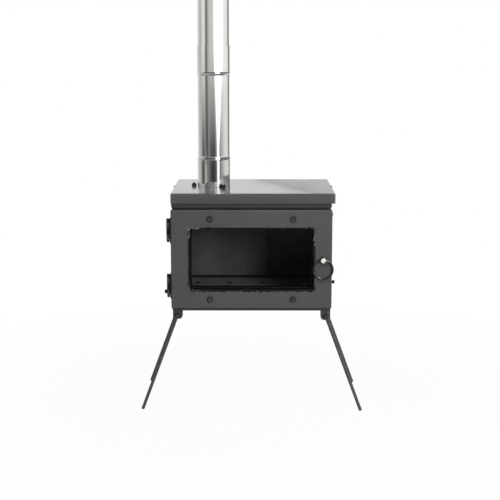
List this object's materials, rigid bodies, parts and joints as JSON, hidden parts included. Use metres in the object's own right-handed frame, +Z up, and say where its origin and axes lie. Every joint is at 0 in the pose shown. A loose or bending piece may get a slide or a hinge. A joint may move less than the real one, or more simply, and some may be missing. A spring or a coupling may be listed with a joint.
{
  "type": "tent wood stove",
  "caption": "Folding tent stove: sheet-steel firebox on splayed rod legs, glazed side-hinged door with ring latch, cooking top and plug-together stainless chimney.",
  "frame": {"origin": "on the floor, under the middle of the cooking top and between the four feet", "axes": "+X to the right and +Y to the back for someone facing the door, +Z up"},
  "size_m": [0.4198, 0.2467, 0.8992],
  "materials": {
    "paint": "satin charcoal grey heat-proof powder coat",
    "bare_steel": "heat-darkened mild steel",
    "stainless": "polished stainless steel",
    "black_screws": "black oxide",
    "bright_steel": "bright plated steel",
    "black_wire": "gloss black coated wire",
    "fibre": "black graphite glass-fibre gasket",
    "glass": "clear ceramic glass, faintly smoked"
  },
  "bodies": {
    "root": {"firebox_wrap": "paint", "front_frame": "paint", "back_panel": "paint", "top_rail": "paint", "top_plate": "paint", "fire_grate": "bare_steel", "latch_keeper": "paint", "frame_screw": "black_screws", "lid_screw_left": "black_screws", "lid_screw_right": "black_screws", "flue_collar": "bare_steel", "flue_bolt_1": "black_screws", "flue_bolt_2": "black_screws", "flue_bolt_3": "black_screws", "air_guide_upper": "paint", "air_guide_lower": "paint", "hinge_body_leaf_lower": "paint", "hinge_body_leaf_upper": "paint", "hinge_bolt_lower": "black_screws", "hinge_bolt_upper": "black_screws", "hinge_nut_lower": "black_screws", "hinge_nut_upper": "black_screws", "hinge_lock_screw": "black_screws", "leg_bracket_front_left": "paint", "leg_bracket_front_right": "paint", "leg_bracket_back_left": "paint", "leg_bracket_back_right": "paint", "leg_bolt_front_left": "black_screws", "leg_bolt_front_right": "black_screws", "leg_bolt_back_left": "black_screws", "leg_bolt_back_right": "black_screws"},
    "door": {"door_panel": "paint", "door_glass": "glass", "glass_gasket": "fibre", "door_seal": "fibre", "glass_clamp_upper": "bare_steel", "glass_clamp_lower": "bare_steel", "door_screw_lower_left": "black_screws", "door_screw_lower_right": "black_screws", "door_screw_upper_left": "black_screws", "door_screw_upper_right": "black_screws", "hinge_door_leaf_lower": "black_screws", "hinge_door_leaf_upper": "black_screws"},
    "latch": {"latch_ring": "black_wire", "latch_washer": "black_screws", "latch_screw": "bright_steel", "latch_cam": "bare_steel", "latch_nut": "bare_steel"},
    "shutter": {"air_shutter": "paint", "air_knob": "black_screws"},
    "chimney_lower": {"pipe_lower": "stainless"},
    "chimney_upper": {"pipe_upper": "stainless"},
    "left_front_leg": {"leg_front_left": "paint"},
    "right_front_leg": {"leg_front_right": "paint"},
    "left_back_leg": {"leg_back_left": "paint"},
    "right_back_leg": {"leg_back_right": "paint"}
  },
  "joints": [
    {"name": "door_swing", "type": "hinge", "parent": "root", "child": "door", "pos_m": [-0.1532, -0.111, 0.2948], "axis": [0, 0, -1], "range_deg": [0, 120]},
    {"name": "latch_turn", "type": "hinge", "parent": "door", "child": "latch", "pos_m": [0.1316, -0.1183, 0.2935], "axis": [0, 1, 0], "range_deg": [0, 90]},
    {"name": "shutter_slide", "type": "slide", "parent": "root", "child": "shutter", "axis": [0, 1, 0], "range_m": [0, 0.015]},
    {"name": "chimney_lift", "type": "slide", "parent": "root", "child": "chimney_lower", "axis": [0, 0, 1], "range_m": [0, 0.06]},
    {"name": "chimney_unplug", "type": "slide", "parent": "chimney_lower", "child": "chimney_upper", "axis": [0, 0, 1], "range_m": [0, 0.07]},
    {"name": "left_front_leg_fold", "type": "hinge", "parent": "root", "child": "left_front_leg", "pos_m": [-0.1387, -0.0863, 0.1845], "axis": [0, -1, 0], "range_deg": [0, 110]},
    {"name": "right_front_leg_fold", "type": "hinge", "parent": "root", "child": "right_front_leg", "pos_m": [0.1387, -0.0953, 0.1845], "axis": [0, 1, 0], "range_deg": [0, 110]},
    {"name": "left_back_leg_fold", "type": "hinge", "parent": "root", "child": "left_back_leg", "pos_m": [-0.1387, 0.1073, 0.1845], "axis": [0, -1, 0], "range_deg": [0, 110]},
    {"name": "right_back_leg_fold", "type": "hinge", "parent": "root", "child": "right_back_leg", "pos_m": [0.1387, 0.0983, 0.1845], "axis": [0, 1, 0], "range_deg": [0, 110]}
  ]
}
